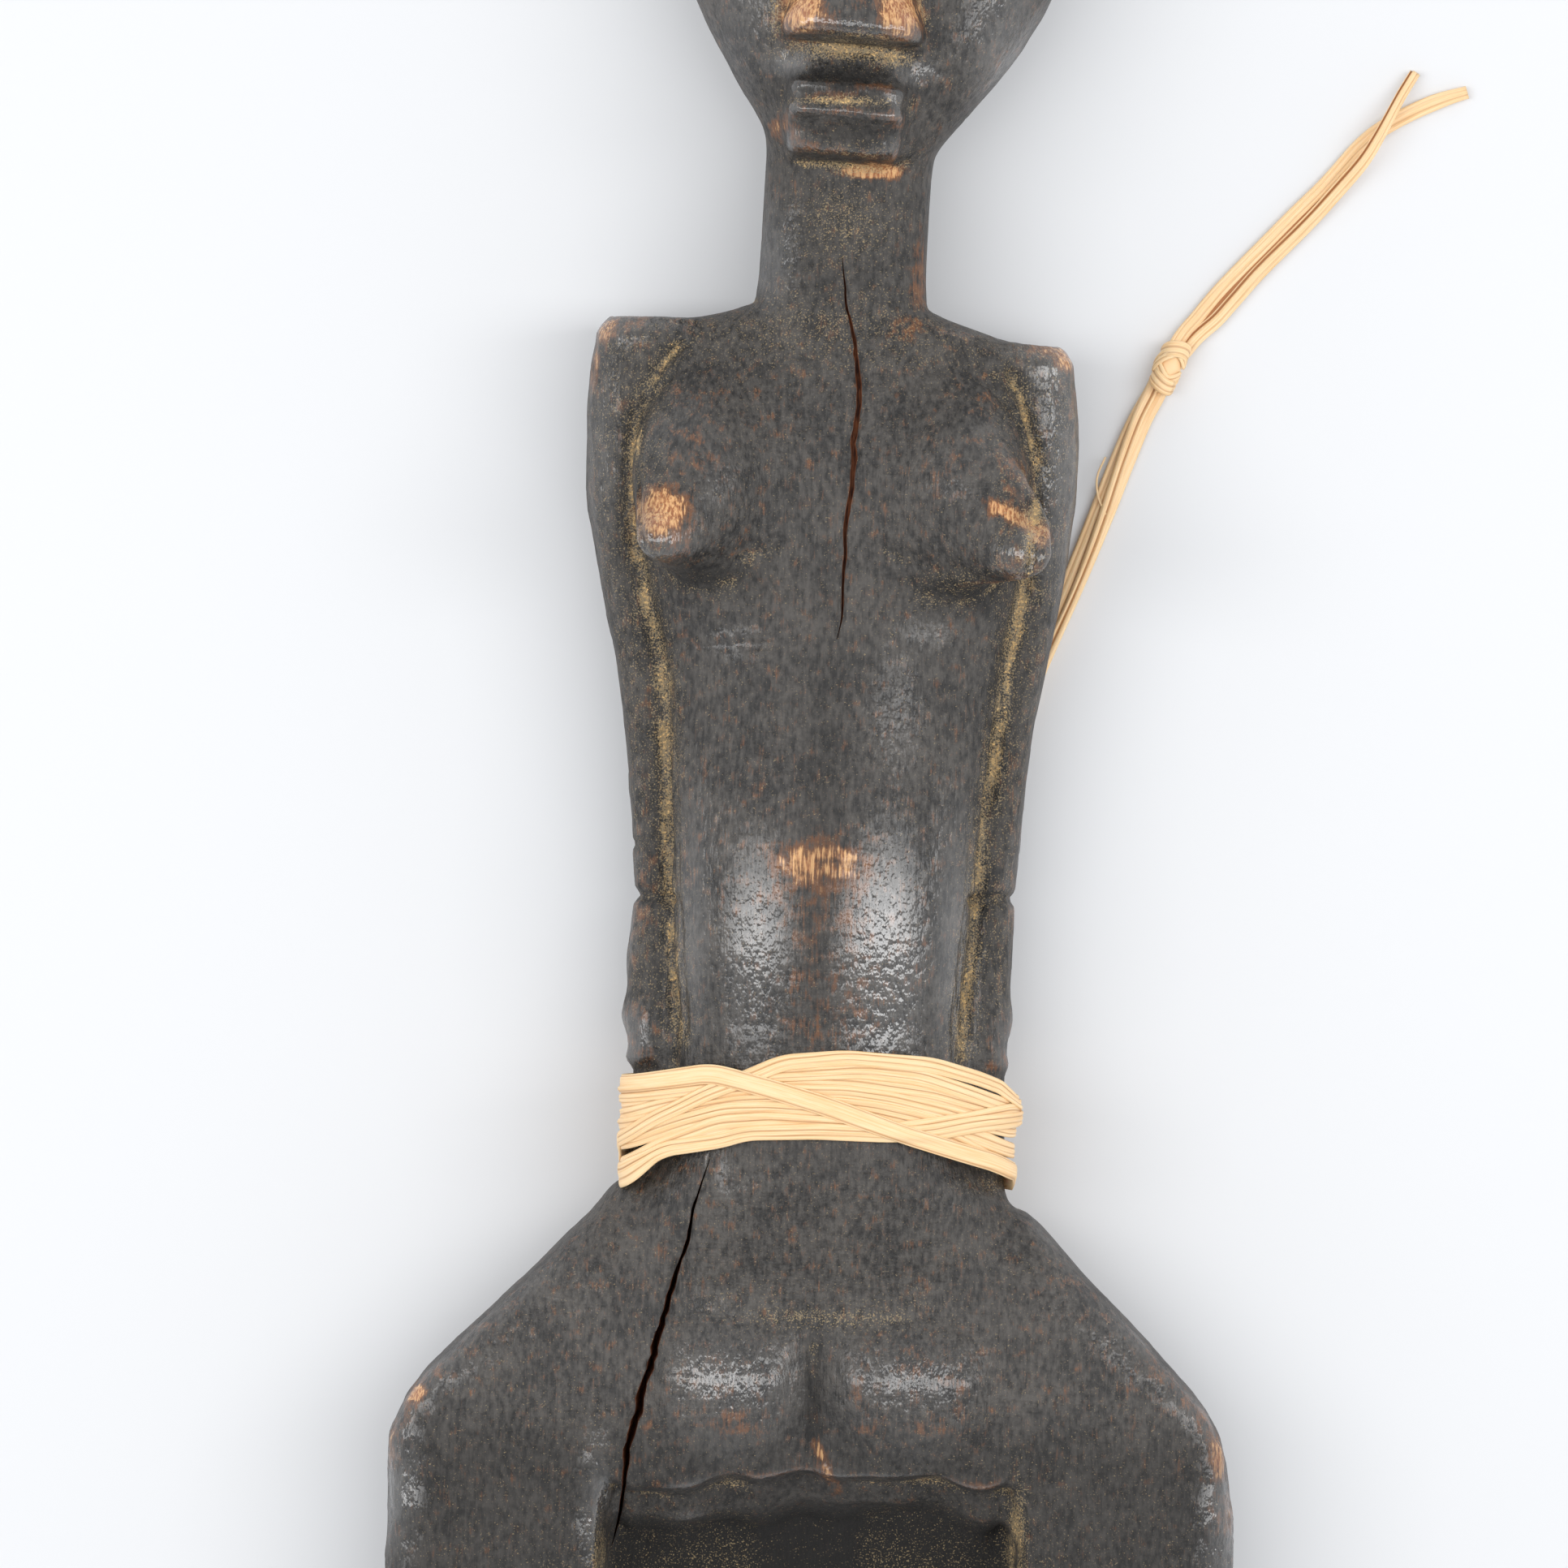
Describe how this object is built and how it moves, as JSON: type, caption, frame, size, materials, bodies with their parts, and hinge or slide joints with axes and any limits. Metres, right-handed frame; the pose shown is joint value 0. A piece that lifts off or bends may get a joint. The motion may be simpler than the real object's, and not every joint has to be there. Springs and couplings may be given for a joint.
{
  "type": "fertility doll",
  "caption": "Carved dark-stained wooden female figure with square shoulders, arms at its sides and wide hips, bound round the waist with raffia that ends in a knotted tail.",
  "frame": {"origin": "centre of the carved figure's own box, on the plane that its back rests on", "axes": "+Z out of the figure's front, +Y from its feet to the top of its head, +X to the right for someone who looks at its front"},
  "size_m": [0.1572, 0.3571, 0.0406],
  "materials": {
    "stained_wood": "dark stained, carved with a blade, worn to bare wood on high spots",
    "raffia_strip": "dry split palm leaf strip, folded lengthwise, satin",
    "raffia_knot": "dry split palm leaf strip, pulled into a knot"
  },
  "bodies": {
    "root": {"carved_figure": "stained_wood", "raffia_turn_1": "raffia_strip", "raffia_turn_2": "raffia_strip", "raffia_turn_3": "raffia_strip", "raffia_turn_4": "raffia_strip", "raffia_turn_5": "raffia_strip", "raffia_turn_6": "raffia_strip", "raffia_turn_7": "raffia_strip", "raffia_turn_8": "raffia_strip", "raffia_turn_9": "raffia_strip", "raffia_back_knot": "raffia_knot", "raffia_tail": "raffia_strip", "raffia_tail_knot": "raffia_knot", "raffia_end_under": "raffia_strip", "raffia_end_over": "raffia_strip"}
  },
  "joints": []
}
